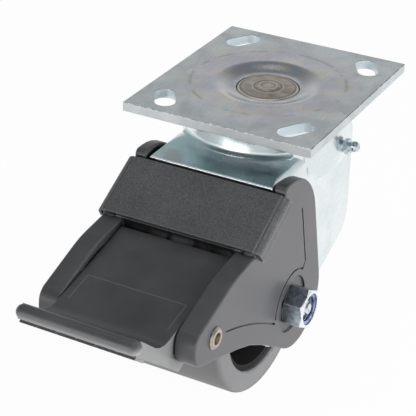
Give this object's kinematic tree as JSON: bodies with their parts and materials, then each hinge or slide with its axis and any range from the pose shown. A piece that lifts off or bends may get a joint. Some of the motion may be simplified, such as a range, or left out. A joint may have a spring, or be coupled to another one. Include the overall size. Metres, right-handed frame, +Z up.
{
  "type": "castor",
  "caption": "Heavy swivel plate castor with a pressed steel fork, a wide rubber-tread wheel on a roller bearing and a foot-pressed wheel brake.",
  "frame": {"origin": "swivel axis at the top face of the mounting plate", "axes": "+Z up out of the mounting plate along the swivel axis, wheel axle along Y at rest, brake pedal towards -X, axle nut on the -Y side"},
  "size_m": [0.2384, 0.1024, 0.1429],
  "materials": {
    "plate_zinc": "satin zinc",
    "fork_zinc": "bright blue-white zinc",
    "kingpin_steel": "dull turned steel",
    "bright_zinc": "bright zinc",
    "bearing_steel": "polished",
    "housing_nylon": "satin moulded nylon",
    "pedal_nylon": "fine satin moulded nylon",
    "strip_paint": "satin black powder coat",
    "nut_nylon": "glossy nylon",
    "core_nylon": "satin",
    "tread_rubber": "satin",
    "shoe_zinc": "zinc",
    "friction": "matt"
  },
  "bodies": {
    "plate": {"top_plate": "plate_zinc", "kingpin": "kingpin_steel", "lower_race": "bright_zinc", "kingpin_nut": "plate_zinc", "cotter_pin": "bright_zinc"},
    "swivel": {"fork": "fork_zinc", "upper_balls": "bearing_steel", "lower_balls": "bearing_steel", "grease_fitting": "bright_zinc", "brake_housing": "housing_nylon", "cover_strip": "strip_paint", "pivot_rivet": "bright_zinc", "axle_bolt": "bright_zinc", "axle_nut": "bright_zinc", "nut_insert": "nut_nylon", "axle_sleeve": "bearing_steel", "thrust_washers": "bright_zinc", "shoe_pin": "shoe_zinc"},
    "wheel": {"wheel_core": "core_nylon", "tread": "tread_rubber", "bearing_rollers": "bearing_steel", "bearing_cage": "bright_zinc"},
    "pedal": {"pedal": "pedal_nylon"},
    "shoe": {"brake_shoe": "shoe_zinc", "brake_pad": "friction", "shoe_springs": "bearing_steel"}
  },
  "joints": [
    {"name": "swivel_turn", "type": "hinge", "parent": "plate", "child": "swivel", "pos_m": [0, 0, 0], "axis": [0, 0, 1], "continuous": true},
    {"name": "wheel_spin", "type": "hinge", "parent": "swivel", "child": "wheel", "pos_m": [-0.0485, 0, -0.0921], "axis": [0, 1, 0], "continuous": true},
    {"name": "pedal_press", "type": "hinge", "parent": "swivel", "child": "pedal", "pos_m": [-0.1305, 0, -0.0645], "axis": [0, -1, 0], "range_deg": [0, 20]},
    {"name": "shoe_rock", "type": "hinge", "parent": "swivel", "child": "shoe", "pos_m": [-0.08527, 0, -0.04828], "axis": [0, -1, 0], "range_deg": [0, 2.1]}
  ],
  "couplings": [
    {"joint": "shoe_rock", "follows": "pedal_press", "ratio": 0.105}
  ]
}
